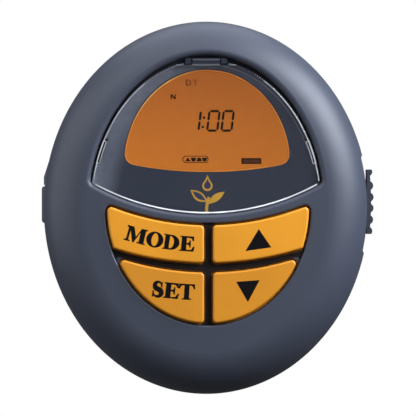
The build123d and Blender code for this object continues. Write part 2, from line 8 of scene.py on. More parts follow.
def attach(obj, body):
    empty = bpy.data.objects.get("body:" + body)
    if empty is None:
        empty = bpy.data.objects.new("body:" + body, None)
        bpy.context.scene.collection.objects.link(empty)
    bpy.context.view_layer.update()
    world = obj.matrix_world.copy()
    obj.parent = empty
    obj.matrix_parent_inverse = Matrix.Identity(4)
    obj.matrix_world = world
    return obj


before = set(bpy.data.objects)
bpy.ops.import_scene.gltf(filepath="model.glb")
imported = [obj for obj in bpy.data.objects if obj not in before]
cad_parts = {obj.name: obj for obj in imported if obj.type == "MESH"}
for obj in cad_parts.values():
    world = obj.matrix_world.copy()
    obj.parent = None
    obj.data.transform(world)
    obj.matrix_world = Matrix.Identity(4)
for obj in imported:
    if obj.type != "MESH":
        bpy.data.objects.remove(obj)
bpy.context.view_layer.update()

MM = 0.001

# The dimensions of the CAD model that the fine pieces follow, in millimetres.
RECESS_ARC_LOW, RECESS_ARC_R = -2.0, 77.6
LID_RX, LID_RZ = 38.8, 49.6
LID_FRONT = -43.6
WINDOW_RX, WINDOW_RZ, WINDOW_X, WINDOW_Z = 28.0, 32.4, 0.3, 14.0
WINDOW_ARC_LOW, WINDOW_ARC_R, WINDOW_CORNER_R = 12.0, 133.0, 4.5
KEYS_X, KEYS_RX, KEYS_RZ = 0.6, 33.8, 38.8
KEY_SPLIT_X, KEY_HALF_GAP, KEY_GAP, KEY_CORNER_R = 0.75, 1.46, 0.7, 1.3
UPPER_TOP_Z, UPPER_TOP_R = -5.9, 88.0
UPPER_LOW_Z, UPPER_LOW_R = -18.5, 105.0
LOWER_TOP_Z, LOWER_TOP_R = -21.7, 96.0
CLIP_LOW, CLIP_HIGH = 15.0, 22.8
KEY_FRONT, WEB_FRONT = -44.9, -42.8
PANEL_FRONT, GLASS_FRONT = -40.6, -39.0

# The depths in Y of the print on the keys and of the window's rim, a painted highlight, in millimetres.
PRINT_BACK, PRINT_FRONT = KEY_FRONT + 0.1, KEY_FRONT - 0.004
RIM_BACK = -39.9


# ---------------------------------------------------------------- materials

def srgb(r, g, b):
    """A colour as seen on screen, 0 to 255, turned into the linear values that a shader takes."""
    out = []
    for value in (r, g, b):
        value /= 255
        out.append(value / 12.92 if value <= 0.04045 else ((value + 0.055) / 1.055) ** 2.4)
    return (*out, 1.0)


class Nodes:
    """A material's node tree, with short calls for the nodes used here."""

    def __init__(self, name):
        self.material = bpy.data.materials.new(name)
        self.material.use_nodes = True
        self.tree = self.material.node_tree
        self.tree.nodes.clear()
        self.out = self.add("ShaderNodeOutputMaterial")
        self.coords = self.add("ShaderNodeTexCoord").outputs["Object"]

    def add(self, kind):
        return self.tree.nodes.new(kind)

    def link(self, source, target):
        self.tree.links.new(source, target)

    def noise(self, scale, detail=3.0, rough=0.55):
        node = self.add("ShaderNodeTexNoise")
        node.inputs["Scale"].default_value = scale
        node.inputs["Detail"].default_value = detail
        node.inputs["Roughness"].default_value = rough
        self.link(self.coords, node.inputs["Vector"])
        return node.outputs["Fac"]

    def ramp(self, factor, stops):
        node = self.add("ShaderNodeValToRGB")
        elements = node.color_ramp.elements
        while len(elements) < len(stops):
            elements.new(0.5)
        for element, (place, colour) in zip(elements, stops):
            element.position = place
            element.color = colour
        self.link(factor, node.inputs["Fac"])
        return node.outputs["Color"]

    def spread(self, factor, low, high, to_low, to_high):
        node = self.add("ShaderNodeMapRange")
        for index, value in enumerate((low, high, to_low, to_high), start=1):
            node.inputs[index].default_value = value
        self.link(factor, node.inputs[0])
        return node.outputs[0]

    def mix(self, factor, a, b, blend="MIX"):
        node = self.add("ShaderNodeMix")
        node.data_type = "RGBA"
        node.blend_type = blend
        for socket, value in ((node.inputs[0], factor), (node.inputs[6], a), (node.inputs[7], b)):
            if isinstance(value, bpy.types.NodeSocket):
                self.link(value, socket)
            else:
                socket.default_value = value
        return node.outputs[2]

    def axis(self, letter):
        node = self.add("ShaderNodeSeparateXYZ")
        self.link(self.coords, node.inputs[0])
        return node.outputs[letter]

    def math(self, operation, a, b=0.0):
        node = self.add("ShaderNodeMath")
        node.operation = operation
        for socket, value in zip(node.inputs, (a, b)):
            if isinstance(value, bpy.types.NodeSocket):
                self.link(value, socket)
            else:
                socket.default_value = value
        return node.outputs[0]

    def oval(self, rx, rz):
        """1 on the oval with these half axes, in metres, and less inside it."""
        across = self.math("POWER", self.math("DIVIDE", self.axis("X"), rx), 2.0)
        up = self.math("POWER", self.math("DIVIDE", self.axis("Z"), rz), 2.0)
        return self.math("SQRT", self.math("ADD", across, up))

    def bump(self, height, strength, distance):
        node = self.add("ShaderNodeBump")
        node.inputs["Strength"].default_value = strength
        node.inputs["Distance"].default_value = distance
        self.link(height, node.inputs["Height"])
        return node.outputs["Normal"]

    def surface(self, colour, roughness, metallic=0.0, normal=None, **sockets):
        shader = self.add("ShaderNodeBsdfPrincipled")
        for socket, value in (("Base Color", colour), ("Roughness", roughness)):
            if isinstance(value, bpy.types.NodeSocket):
                self.link(value, shader.inputs[socket])
            else:
                shader.inputs[socket].default_value = value
        shader.inputs["Metallic"].default_value = metallic
        for socket, value in sockets.items():
            target = shader.inputs[socket.replace("_", " ")]
            if isinstance(value, bpy.types.NodeSocket):
                self.link(value, target)
            else:
                target.default_value = value
        if normal is not None:
            self.link(normal, shader.inputs["Normal"])
        self.link(shader.outputs[0], self.out.inputs["Surface"])
        return shader


def moulded(name, colour, rough, grain=2600.0, depth=0.00003, strength=0.25, drift=0.12, **sockets):
    """Moulded plastic or rubber: a slight drift of colour, a fine spark-eroded grain and uneven gloss."""
    nodes = Nodes(name)
    slow = nodes.noise(45.0, 3.0)
    dark = (*(c * (1 - drift) for c in colour[:3]), 1.0)
    light = (*(min(1.0, c * (1 + drift)) for c in colour[:3]), 1.0)
    tint = nodes.ramp(slow, [(0.35, dark), (0.65, light)])
    fine = nodes.noise(grain, 2.0)
    gloss = nodes.spread(fine, 0.3, 0.7, rough - 0.04, rough + 0.05)
    nodes.surface(tint, gloss, normal=nodes.bump(fine, strength, depth), **sockets)
    return nodes.material


def metal(name, colour, rough, scratch=900.0):
    nodes = Nodes(name)
    streaks = nodes.noise(scratch, 6.0, 0.7)
    tint = nodes.ramp(streaks, [(0.3, (*(c * 0.8 for c in colour[:3]), 1.0)), (0.7, colour)])
    gloss = nodes.spread(streaks, 0.3, 0.7, rough - 0.06, rough + 0.1)
    nodes.surface(tint, gloss, metallic=1.0, normal=nodes.bump(streaks, 0.15, 0.00002))
    return nodes.material


def clear(name, tint, rough, ior=1.49, solid_above=None):
    """Clear moulded plastic with a hair of haze; above a height in metres, if one is given, it is painted
    opaque dark slate, a painted shade over the hinge end.
    """
    nodes = Nodes(name)
    haze = nodes.noise(300.0, 2.0)
    gloss = nodes.spread(haze, 0.3, 0.7, rough, rough + 0.02)
    colour = nodes.ramp(haze, [(0.3, (*(c * 0.985 for c in tint[:3]), 1.0)), (0.7, tint)])
    see_through = 1.0
    if solid_above is not None:
        # Painted shade: above the height the plastic turns opaque dark slate.
        tip = nodes.spread(nodes.axis("Z"), solid_above, solid_above + 0.0002, 0.0, 1.0)
        colour = nodes.mix(tip, colour, KNUCKLE_PAINTED_SHADE)
        gloss = nodes.spread(tip, 0.0, 1.0, rough, 0.45)
        see_through = nodes.spread(tip, 0.0, 1.0, 1.0, 0.0)
    nodes.surface(colour, gloss, Transmission_Weight=see_through, IOR=ior)
    return nodes.material


def backlit():
    """The LCD: amber, brighter low on the left where its lamp is, and darker towards the top."""
    nodes = Nodes("lcd_backlit")
    up = nodes.spread(nodes.axis("Z"), 0.012, 0.047, 0.0, 1.0)
    across = nodes.spread(nodes.axis("X"), -0.028, 0.028, 0.0, 1.0)
    rows = nodes.ramp(up, [(0.0, srgb(205, 118, 26)), (0.45, srgb(192, 108, 24)), (1.0, srgb(168, 89, 20))])
    columns = nodes.ramp(
        across, [(0.0, (1.08, 1.06, 1.0, 1)), (0.5, (1.0, 1.0, 1.0, 1)), (1.0, (0.93, 0.92, 0.95, 1))])
    glow = nodes.mix(1.0, rows, columns, "MULTIPLY")
    cells = nodes.noise(260.0, 2.0)
    glow = nodes.mix(nodes.spread(cells, 0.3, 0.7, 0.0, 0.06), glow, srgb(150, 80, 18))
    nodes.surface((0.02, 0.012, 0.006, 1.0), 0.35, Emission_Color=glow, Emission_Strength=0.92)
    return nodes.material


def dark_panel():
    """The panel round the window, with painted light: a painted reflection makes it paler at the left near
    the lid's edge, painted shade darkens it by the lid's hinge, and a painted shadow makes it black outside
    the lid.
    """
    nodes = Nodes("dark_panel")
    ring = nodes.oval(LID_RX * MM, LID_RZ * MM)
    edge = nodes.spread(ring, 0.76, 0.99, 0.0, 1.0)
    left = nodes.spread(nodes.axis("X"), 0.012, -0.024, 0.08, 1.0)
    streaks = nodes.noise(210.0, 2.0)
    # Painted reflection: the panel turns paler towards the left near the lid's edge, in streaks.
    pale = nodes.math("MULTIPLY", edge, left)
    pale = nodes.math("MULTIPLY", pale, nodes.spread(streaks, 0.3, 0.7, 0.75, 1.1))
    colour = nodes.mix(pale, PANEL_COLOUR, PANEL_PAINTED_REFLECTION)
    # Painted shadow: black in the gap outside the lid's edge.
    colour = nodes.mix(nodes.spread(ring, 1.0, 1.006, 0.0, 1.0), colour, GAP_PAINTED_SHADOW)
    # Painted shade: dark slate at the top, by the lid's hinge.
    colour = nodes.mix(nodes.spread(nodes.axis("Z"), 0.0481, 0.0483, 0.0, 1.0), colour, KNUCKLE_PAINTED_SHADE)
    fine = nodes.noise(1800.0, 2.0)
    nodes.surface(colour, 0.45, normal=nodes.bump(fine, 0.12, 0.00003), Specular_IOR_Level=0.3)
    return nodes.material


def glint():
    """Painted highlight on the clear lid's polished edges: a near-white colour in patches, brightest along
    the bottom, standing for the light they catch.
    """
    nodes = Nodes("lid_edge_painted_highlight")
    patches = nodes.spread(nodes.noise(140.0, 2.0), 0.35, 0.65, 0.55, 1.0)
    low = nodes.spread(nodes.axis("Z"), 0.006, -0.001, 0.55, 1.0)
    bright = nodes.math("MULTIPLY", patches, low)
    colour = nodes.mix(bright, (0.22, 0.225, 0.25, 1.0), (0.98, 0.98, 0.98, 1.0))
    nodes.surface(colour, 0.25)
    return nodes.material


# The painted shadow in the gap round the lid.
GAP_PAINTED_SHADOW = (0.002, 0.002, 0.004, 1.0)
# The painted shade at the lid's hinge, on the panel and on the lid's tip.
KNUCKLE_PAINTED_SHADE = (0.014, 0.017, 0.026, 1.0)
PANEL_COLOUR = (0.044, 0.054, 0.084, 1.0)
# The colour of the painted reflection on the panel's left side.
PANEL_PAINTED_REFLECTION = (0.30, 0.32, 0.39, 1.0)

MATERIALS = {
    "slate": moulded("slate_case", (0.038, 0.044, 0.064, 1.0), 0.48, grain=3000.0, strength=0.18, drift=0.04),
    "base": moulded("slate_base", (0.034, 0.037, 0.048, 1.0), 0.5, grain=2200.0, strength=0.35, drift=0.06),
    "latch": moulded("slate_latch", (0.023, 0.026, 0.034, 1.0), 0.5, grain=2400.0, strength=0.3, drift=0.08),
    "panel": dark_panel(),
    "glint": glint(),
    # Grey painted highlight for the faint light lines just inside the lid's edge.
    "edge": moulded("lid_line_painted_highlight", (0.20, 0.21, 0.25, 1.0), 0.3, grain=1200.0, drift=0.3),
    "amber": moulded("amber_key", (0.66, 0.262, 0.012, 1.0), 0.42, grain=3400.0, strength=0.15, drift=0.05),
    # A darker copy of the key plastic, painted shade for the lower keys.
    "amber_painted_shade": moulded(
        "amber_key_painted_shade", (0.56, 0.215, 0.010, 1.0), 0.42, grain=3400.0, strength=0.15, drift=0.05),
    "ink": moulded(
        "black_print", srgb(12, 10, 12), 0.85, grain=4000.0, strength=0.1, Specular_IOR_Level=0.08),
    # Black painted shade, for the webs between the keys and the insides of the lid's clip slots.
    "painted_shade_black": moulded("black_painted_shade", srgb(20, 12, 11), 0.75, grain=2600.0, strength=0.3, Specular_IOR_Level=0.2),
    "border": moulded("window_border", srgb(24, 40, 62), 0.5),
    "rubber": moulded("black_rubber", srgb(24, 24, 25), 0.75, grain=1500.0, strength=0.4),
    "silicone": moulded("grey_silicone", srgb(88, 90, 92), 0.65, grain=1500.0),
    "carbon": moulded("carbon_pill", srgb(20, 20, 20), 0.8, grain=2500.0),
    "chassis": moulded("chassis_plastic", srgb(44, 47, 54), 0.5, grain=2000.0, strength=0.4),
    "chip": moulded("chip_epoxy", srgb(22, 22, 23), 0.6, grain=3500.0),
    "terminal": moulded("terminal_green", srgb(38, 112, 66), 0.45),
    "board": moulded("solder_mask", srgb(14, 34, 24), 0.4, grain=500.0, strength=0.2, drift=0.2),
    "led": moulded("led_lens", srgb(240, 225, 180), 0.3),
    "jacket": moulded("cell_jacket", srgb(52, 54, 58), 0.3, grain=300.0, drift=0.1),
    "guide": moulded("light_guide", srgb(226, 150, 70), 0.3),
    "yellow": moulded("emblem_yellow", srgb(248, 186, 50), 0.5, drift=0.1),
    "navy": moulded("emblem_navy", srgb(48, 52, 92), 0.5, drift=0.1),
    # A painted highlight: bright orange for the lamp's light at the window's edge.
    "rim_orange_highlight": moulded("window_rim_highlight", srgb(250, 150, 50), 0.4),
    # A painted glow, pale amber, though the strip is no lamp.
    "glow": moulded("window_painted_glow", srgb(255, 196, 92), 0.5),
    "ghost": moulded("lcd_ghost", srgb(160, 68, 0), 0.7),
    "maroon": moulded("lcd_maroon", srgb(60, 20, 0), 0.7, Specular_IOR_Level=0.1),
    "maroon_pale": moulded("lcd_maroon_pale", srgb(100, 42, 2), 0.7, grain=900.0, drift=0.4),
    "steel": metal("zinc_steel", (0.62, 0.62, 0.63, 1.0), 0.32),
    "nickel": metal("nickel_spring", (0.72, 0.70, 0.66, 1.0), 0.25),
    "can": metal("aluminium_can", (0.75, 0.75, 0.77, 1.0), 0.3),
    # The lid's tip above 47.8 mm is painted shade, opaque dark slate.
    "lid": clear("clear_lid", (0.97, 0.98, 1.0, 1.0), 0.008, solid_above=0.0478),
    "pane": clear("clear_pane", (1.0, 0.99, 0.97, 1.0), 0.006, ior=1.2),
    "lcd": backlit(),
}
NODE_MATERIALS = {
    "front_housing": "slate", "wall_base": "base", "wall_plate": "base", "side_latch": "latch",
    "bezel_panel": "panel",
    "display_cover": "lid", "display_window": "pane", "lcd_glass": "lcd", "light_guide": "guide",
    "window_seal": "rubber", "zebra_strip": "rubber", "plate_seal": "rubber", "base_gasket": "rubber",
    "cable_grommet": "rubber", "keypad_mat": "silicone", "rear_plate": "chassis", "circuit_board": "board",
    "processor_chip": "chip", "crystal": "can", "capacitors": "can", "backlight_leds": "led",
    "battery_cells": "jacket", "battery_springs": "nickel", "battery_contacts": "nickel",
    "terminal_block": "terminal", "terminal_screws": "steel",
    "board_screws": "steel", "chassis_screws": "steel",
    "hinge_pin": "steel", "latch_pin": "steel", "cover_pin": "ink",
}
# The lower keys, set and down, take the darker copy: painted shade.
for name in ("mode", "set", "up", "down"):
    NODE_MATERIALS["key_" + name] = "amber" if name in ("mode", "up") else "amber_painted_shade"
    NODE_MATERIALS["pill_" + name] = "carbon"
for node, key in NODE_MATERIALS.items():
    for slot in bpy.data.objects[node].material_slots:
        slot.material = MATERIALS[key]


# ---------------------------------------------------------------- outlines, as lists of (x, z) in millimetres

def arc(cx, cz, rx, rz, start, end, count=48):
    """Points on an ellipse from one angle to another, in degrees, anticlockwise from +X."""
    steps = [math.radians(start + (end - start) * i / (count - 1)) for i in range(count)]
    return [(cx + rx * math.cos(t), cz + rz * math.sin(t)) for t in steps]


def walk(points, i, step, reach):
    """The point at a distance along the closed outline from point i, onwards or, with step -1, backwards."""
    here, left = points[i], reach
    while True:
        i = (i + step) % len(points)
        there = points[i]
        gap = math.dist(here, there)
        if gap >= left:
            t = left / gap
            return (here[0] + (there[0] - here[0]) * t, here[1] + (there[1] - here[1]) * t)
        left -= gap
        here = there


def covered(point, curve):
    """Whether a point lies within reach of a corner's curve."""
    middle = curve[len(curve) // 2]
    return math.dist(point, middle) < max(math.dist(middle, curve[0]), math.dist(middle, curve[-1]))


def soften(points, radius, bend=25.0, count=6):
    """The closed outline with each corner sharper than bend degrees replaced by a smooth curve."""
    runs, curves = [], []
    for i, here in enumerate(points):
        before, after = points[i - 1], points[(i + 1) % len(points)]
        a = math.atan2(here[1] - before[1], here[0] - before[0])
        b = math.atan2(after[1] - here[1], after[0] - here[0])
        turn = abs((math.degrees(b - a) + 180) % 360 - 180)
        if turn < bend:
            runs.append([here])
            continue
        reach = radius * math.tan(math.radians(min(turn, 150) / 2))
        first = walk(points, i, -1, reach)
        last = walk(points, i, 1, reach)
        curve = []
        for t in (k / count for k in range(count + 1)):
            weights = ((1 - t) ** 2, 2 * t * (1 - t), t * t)
            curve.append(tuple(sum(w * p[n] for w, p in zip(weights, (first, here, last))) for n in (0, 1)))
        runs.append(curve)
        curves.append(curve)
    out = []
    for run in runs:
        if run in curves or not any(covered(run[0], curve) for curve in curves):
            out += run
    return out


def below(cx, cz, radius, x):
    """The height of the lower side of a circle at x."""
    return cz - math.sqrt(radius**2 - (x - cx) ** 2)


def window_outline(grow=0.0):
    """The window, an upright half oval that ends below in a shallow arc, or one larger by grow all round."""
    rx, rz = WINDOW_RX + grow, WINDOW_RZ + grow
    radius = WINDOW_ARC_R + grow
    centre = WINDOW_ARC_LOW - grow + radius

    def apart(degrees):
        """How far the oval at an angle is from the arc below it."""
        t = math.radians(degrees)
        return abs(WINDOW_Z + rz * math.sin(t) - below(0, centre, radius, rx * math.cos(t)))

    tip = min((quarter / 4 for quarter in range(-60, 200)), key=apart)
    points = arc(0, WINDOW_Z, rx, rz, tip, 180 - tip, 120)
    edge = points[0][0]
    for i in range(1, 60):
        x = -edge + 2 * edge * i / 60
        points.append((x, below(0, centre, radius, x)))
    return [(x + WINDOW_X, z) for x, z in soften(points, WINDOW_CORNER_R + grow)]


def key_outline(name, grow=0.0):
    """A key's outline, or one larger by grow all round."""
    rx, rz = KEYS_RX + grow, KEYS_RZ + grow
    left = name in ("mode", "set")
    inner = KEY_HALF_GAP - grow + (KEYS_X - KEY_SPLIT_X if left else KEY_SPLIT_X - KEYS_X)
    if name in ("mode", "up"):
        top_r, top_c = UPPER_TOP_R - grow, UPPER_TOP_Z + UPPER_TOP_R
        low_r, low_c = UPPER_LOW_R + grow, UPPER_LOW_Z + UPPER_LOW_R
    else:
        top_r, top_c = LOWER_TOP_R - grow, LOWER_TOP_Z + LOWER_TOP_R
        low_r, low_c = None, None

    def bottom(x):
        side = -rz * math.sqrt(max(0.0, 1 - (x / rx) ** 2))
        return max(side, below(0, low_c, low_r, x)) if low_r else side

    def top(x):
        return below(0, top_c, top_r, x)

    last = max(x for x in (inner + (rx - inner) * i / 400 for i in range(401)) if top(x) > bottom(x))
    upper = [(x, top(x)) for x in (inner + (last - inner) * i / 30 for i in range(31))]
    lower = [(x, bottom(x)) for x in (last + (inner - last) * i / 60 for i in range(61))]
    points = upper + lower
    points = [p for k, p in enumerate(points) if math.dist(p, points[k - 1]) > 0.02]
    points = soften(points, KEY_CORNER_R + grow, bend=30)
    if left:
        points = [(-x, z) for x, z in reversed(points)]
    return [(x + KEYS_X, z) for x, z in points]


# ---------------------------------------------------------------- pieces

def plate(name, loops, back, front, body, material):
    """A flat piece between two depths in Y. Loops inside another are its holes."""
    curve = bpy.data.curves.new(name, "CURVE")
    curve.dimensions = "2D"
    curve.fill_mode = "BOTH"
    curve.extrude = (back - front) / 2 * MM
    for loop in loops:
        spline = curve.splines.new("POLY")
        spline.points.add(len(loop) - 1)
        for point, (x, z) in zip(spline.points, loop):
            point.co = (x * MM, z * MM, 0, 1)
        spline.use_cyclic_u = True
    temp = bpy.data.objects.new(name + "_curve", curve)
    bpy.context.scene.collection.objects.link(temp)
    mesh = bpy.data.meshes.new_from_object(temp.evaluated_get(bpy.context.evaluated_depsgraph_get()))
    bpy.data.objects.remove(temp)
    bpy.data.curves.remove(curve)
    turn = Matrix(((1, 0, 0, 0), (0, 0, -1, (back + front) / 2 * MM), (0, 1, 0, 0), (0, 0, 0, 1)))
    mesh.transform(turn)
    work = bmesh.new()
    work.from_mesh(mesh)
    bmesh.ops.remove_doubles(work, verts=work.verts, dist=1e-6)
    bmesh.ops.recalc_face_normals(work, faces=work.faces)
    work.to_mesh(mesh)
    work.free()
    mesh.materials.clear()
    mesh.materials.append(MATERIALS[material])
    piece = bpy.data.objects.new(name, mesh)
    bpy.context.scene.collection.objects.link(piece)
    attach(piece, body)
    return piece


def stroke(points, half_width):
    """The outline of a line with square ends. half_width(t) is half its width, t going from 0 to 1."""
    left, right = [], []
    for i, (x, z) in enumerate(points):
        half = half_width(i / (len(points) - 1))
        x0, z0 = points[max(i - 1, 0)]
        x1, z1 = points[min(i + 1, len(points) - 1)]
        length = math.hypot(x1 - x0, z1 - z0)
        nx, nz = -(z1 - z0) / length * half, (x1 - x0) / length * half
        left.append((x + nx, z + nz))
        right.append((x - nx, z - nz))
    return left + right[::-1]


# ---- glyphs, one unit tall, as closed outlines
def letter_m():
    return [[(0, 0), (0.40, 0), (0.40, 0.08), (0.29, 0.11), (0.29, 0.72), (0.56, 0), (0.65, 0), (0.95, 0.74),
             (0.95, 0.11), (0.84, 0.08), (0.84, 0), (1.38, 0), (1.38, 0.08), (1.28, 0.11), (1.28, 0.9),
             (1.38, 0.93), (1.38, 1.02), (0.98, 1.02), (0.72, 0.4), (0.46, 1.02), (0, 1.02), (0, 0.93),
             (0.1, 0.9), (0.13, 0.84), (0.13, 0.11), (0, 0.08)]]


def letter_o():
    return [arc(0.56, 0.5, 0.57, 0.53, 0, 354, 40), arc(0.56, 0.5, 0.22, 0.42, 0, 351, 32)]


def letter_d():
    outer = [(0, 0), (0.5, 0)] + arc(0.5, 0.5, 0.57, 0.5, -84, 84, 24)
    outer += [(0.5, 1), (0, 1), (0, 0.95), (0.12, 0.91), (0.12, 0.09), (0, 0.05)]
    inner = [(0.42, 0.1), (0.46, 0.1)] + arc(0.46, 0.5, 0.25, 0.4, -80, 80, 20) + [(0.46, 0.9), (0.42, 0.9)]
    return [outer, inner]


def letter_e():
    return [[(0, 0), (0.87, 0), (0.94, 0.34), (0.85, 0.34), (0.74, 0.14), (0.62, 0.11), (0.43, 0.11),
             (0.43, 0.45), (0.5, 0.45), (0.58, 0.41), (0.61, 0.27), (0.69, 0.27), (0.69, 0.74), (0.61, 0.74),
             (0.58, 0.61),
             (0.5, 0.56), (0.43, 0.56), (0.43, 0.89), (0.62, 0.89), (0.73, 0.85), (0.8, 0.7), (0.89, 0.7),
             (0.88, 1), (0, 1), (0, 0.93), (0.11, 0.9), (0.11, 0.1), (0, 0.07)]]


def letter_t():
    return [[(0.22, 0), (0.8, 0), (0.8, 0.07), (0.67, 0.1), (0.67, 0.9), (0.77, 0.9), (0.88, 0.85),
             (0.94, 0.68), (1.03, 0.68), (1.01, 1), (0.01, 1), (-0.01, 0.68), (0.08, 0.68), (0.14, 0.85),
             (0.25, 0.9), (0.35, 0.9), (0.35, 0.1), (0.22, 0.07)]]


def letter_s():
    spine = arc(0.35, 0.735, 0.21, 0.225, 12, 235, 14) + arc(0.34, 0.27, 0.25, 0.235, 55, -165, 16)
    body = stroke(spine, lambda t: 0.05 + 0.12 * math.sin(math.pi * t) ** 2)
    top = [(0.52, 0.64), (0.62, 0.64), (0.61, 1.0), (0.53, 1.0)]
    foot = [(0.04, 0.38), (0.14, 0.38), (0.13, -0.02), (0.05, -0.02)]
    return [body, top, foot]


def on_arc(loops, start, width, centre, base_radius, height, glyph_width):
    """Glyph outlines bent round the arc that the key follows, from the angle start, in degrees."""
    out = []
    for loop in loops:
        bent = []
        for u, v in loop:
            angle = math.radians(start) + u / glyph_width * width / (base_radius - height / 2)
            radius = base_radius - v * height
            bent.append((radius * math.sin(angle), centre - radius * math.cos(angle)))
        out.append(bent)
    return out


def legend(name, body, letters, centre, base_radius, height):
    """Printed letters on a key, raised by a hair and sunk into it."""
    for letter, start, width, glyph_width in letters:
        shape = GLYPHS[letter]
        groups = [shape] if letter in "od" else [[loop] for loop in shape]
        for part, loops in enumerate(groups):
            bent = on_arc(loops, start, width, centre, base_radius, height, glyph_width)
            plate(f"{name}_{letter}_{part}", bent, PRINT_BACK, PRINT_FRONT, body, "ink")


GLYPHS = {
    "m": letter_m(),
    "o": letter_o(),
    "d": letter_d(),
    "e": letter_e(),
    "s": letter_s(),
    "t": letter_t(),
}

# Each row has a letter, the angle in degrees where it starts, its width in millimetres and its glyph's width.
legend("mode_letter", "button_mode", [
    ("m", -17.2, 7.1, 1.36),
    ("o", -12.65, 5.7, 1.12),
    ("d", -9.15, 5.6, 1.07),
    ("e", -5.6, 5.0, 0.92),
], 79.15, 94.0, 5.1)
legend("set_letter", "button_set", [
    ("s", -8.8, 3.55, 0.66),
    ("e", -6.9, 5.1, 0.92),
    ("t", -4.5, 5.5, 1.02),
], 90.0, 121.0, 5.3)

UP_MARK = [(13.1, -14.5), (21.8, -13.25), (17.6, -7.1)]
DOWN_MARK = [(10.0, -24.8), (13.95, -31.6), (17.9, -24.2)]
plate("up_mark", [UP_MARK], PRINT_BACK, PRINT_FRONT, "button_up", "ink")
plate("down_mark", [DOWN_MARK], PRINT_BACK, PRINT_FRONT, "button_down", "ink")

# ---- painted shade between the keys: a black frame over the housing's webs where they lie in shade

def key_field():
    """The outline round all four keys."""
    rx, rz = KEYS_RX + KEY_GAP - 0.06, KEYS_RZ + KEY_GAP - 0.06
    radius = UPPER_TOP_R - KEY_GAP + 0.06
    centre = UPPER_TOP_Z + UPPER_TOP_R
    side = [(x, z) for x, z in arc(0, 0, rx, rz, 180, 360, 120) if z < below(0, centre, radius, x)]
    last = side[-1][0]
    over = [(x, below(0, centre, radius, x)) for x in (last - 2 * last * i / 60 for i in range(61))]
    return [(x + KEYS_X, z) for x, z in soften(side + over[1:-1], KEY_CORNER_R + KEY_GAP)]


holes = [key_outline(name, KEY_GAP - 0.15) for name in ("mode", "up", "set", "down")]
plate("key_frame_painted_shade", [key_field()] + holes, WEB_FRONT + 0.02, WEB_FRONT - 0.12, "head", "painted_shade_black")

# ---- LCD marks, just in front of the glass
MARK_BACK, MARK_FRONT = GLASS_FRONT - 0.02, GLASS_FRONT - 0.08
SLANT = math.tan(math.radians(7))


def mark(name, loops, material="ink"):
    plate(name, loops, MARK_BACK, MARK_FRONT, "head", material)


def segment(x0, z0, x1, z1, width, base_z):
    """One bar of a digit, with pointed ends, leaning right as it rises."""
    length = math.hypot(x1 - x0, z1 - z0)
    ux, uz = (x1 - x0) / length, (z1 - z0) / length
    nx, nz = -uz * width / 2, ux * width / 2
    tip = width / 2
    points = [(x0, z0), (x0 + ux * tip + nx, z0 + uz * tip + nz), (x1 - ux * tip + nx, z1 - uz * tip + nz),
              (x1, z1), (x1 - ux * tip - nx, z1 - uz * tip - nz), (x0 + ux * tip - nx, z0 + uz * tip - nz)]
    return [(x + (z - base_z) * SLANT, z) for x, z in points]


def digit(name, x, z, width, height, lit, bar=0.78, gap=0.1):
    mid = z + height / 2
    ends = {
        "top": (x + gap, z + height, x + width - gap, z + height),
        "bottom": (x + gap, z, x + width - gap, z),
        "upper_left": (x, mid + gap, x, z + height - gap),
        "lower_left": (x, z + gap, x, mid - gap),
        "upper_right": (x + width, mid + gap, x + width, z + height - gap),
        "lower_right": (x + width, z + gap, x + width, mid - gap),
    }
    for part in lit:
        mark(f"{name}_{part}", [segment(*ends[part], bar, z)])


DIGIT_Z, DIGIT_TALL = 25.95, 6.55
ONE = ("upper_left", "lower_left")
ZERO = ("top", "bottom", "upper_left", "lower_left", "upper_right", "lower_right")
digit("hour", -2.6, DIGIT_Z, 0.0, DIGIT_TALL, ONE)
digit("tens", 0.3, DIGIT_Z, 3.4, DIGIT_TALL, ZERO)
digit("ones", 5.1, DIGIT_Z, 3.35, DIGIT_TALL, ZERO)
mark("colon_high", [arc(-0.75, 30.3, 0.44, 0.44, 0, 330, 12)])
mark("colon_low", [arc(-1.15, 27.2, 0.44, 0.44, 0, 330, 12)])
mark("day_mark", [[(-12.0, 36.5), (-11.55, 36.5), (-11.55, 37.5), (-10.75, 36.5), (-10.25, 36.5),
                   (-10.25, 38.15), (-10.7, 38.15), (-10.7, 37.15), (-11.5, 38.15), (-12.0, 38.15)]])
mark("ghost_d", [[(-6.9, 41.0), (-5.7, 41.0), (-5.1, 41.5), (-5.1, 42.6), (-5.7, 43.1), (-6.9, 43.1)],
                 [(-6.45, 41.4), (-5.9, 41.4), (-5.55, 41.7), (-5.55, 42.4), (-5.9, 42.7), (-6.45, 42.7)]],
     "ghost")
mark("ghost_t", [[(-3.9, 41.0), (-3.45, 41.0), (-3.45, 42.7), (-2.75, 42.7), (-2.75, 43.1), (-4.6, 43.1),
                  (-4.6, 42.7), (-3.9, 42.7)]], "ghost")
hexagon = [(-8.2, 16.3), (-7.4, 17.5), (0.3, 17.5), (0.8, 16.3), (0.3, 15.1), (-7.4, 15.1)]
inner_hexagon = [(-7.87, 16.3), (-7.2, 17.24), (0.13, 17.24), (0.5, 16.3), (0.13, 15.36), (-7.2, 15.36)]
mark("battery_outline", [hexagon, inner_hexagon], "maroon")
for i, x in enumerate((-6.2, -4.3, -2.4, -0.6)):
    wide_low, wide_high = (0.95, 0.1) if i == 0 else (0.55, 0.95) if i % 2 else (0.95, 0.5)
    mark(f"battery_wave_{i}", [[(x - wide_low, 15.6), (x + wide_low, 15.6), (x + wide_high, 16.85),
                                (x - wide_high, 16.85)]])
ZONE_INNER = [(12.3, 15.2), (18.0, 15.2), (18.0, 16.25), (12.3, 16.25)]
mark("zone_bar", [[(11.8, 14.75), (18.5, 14.75), (18.5, 16.7), (11.8, 16.7)], ZONE_INNER], "maroon")
mark("zone_fill", [ZONE_INNER], "maroon_pale")

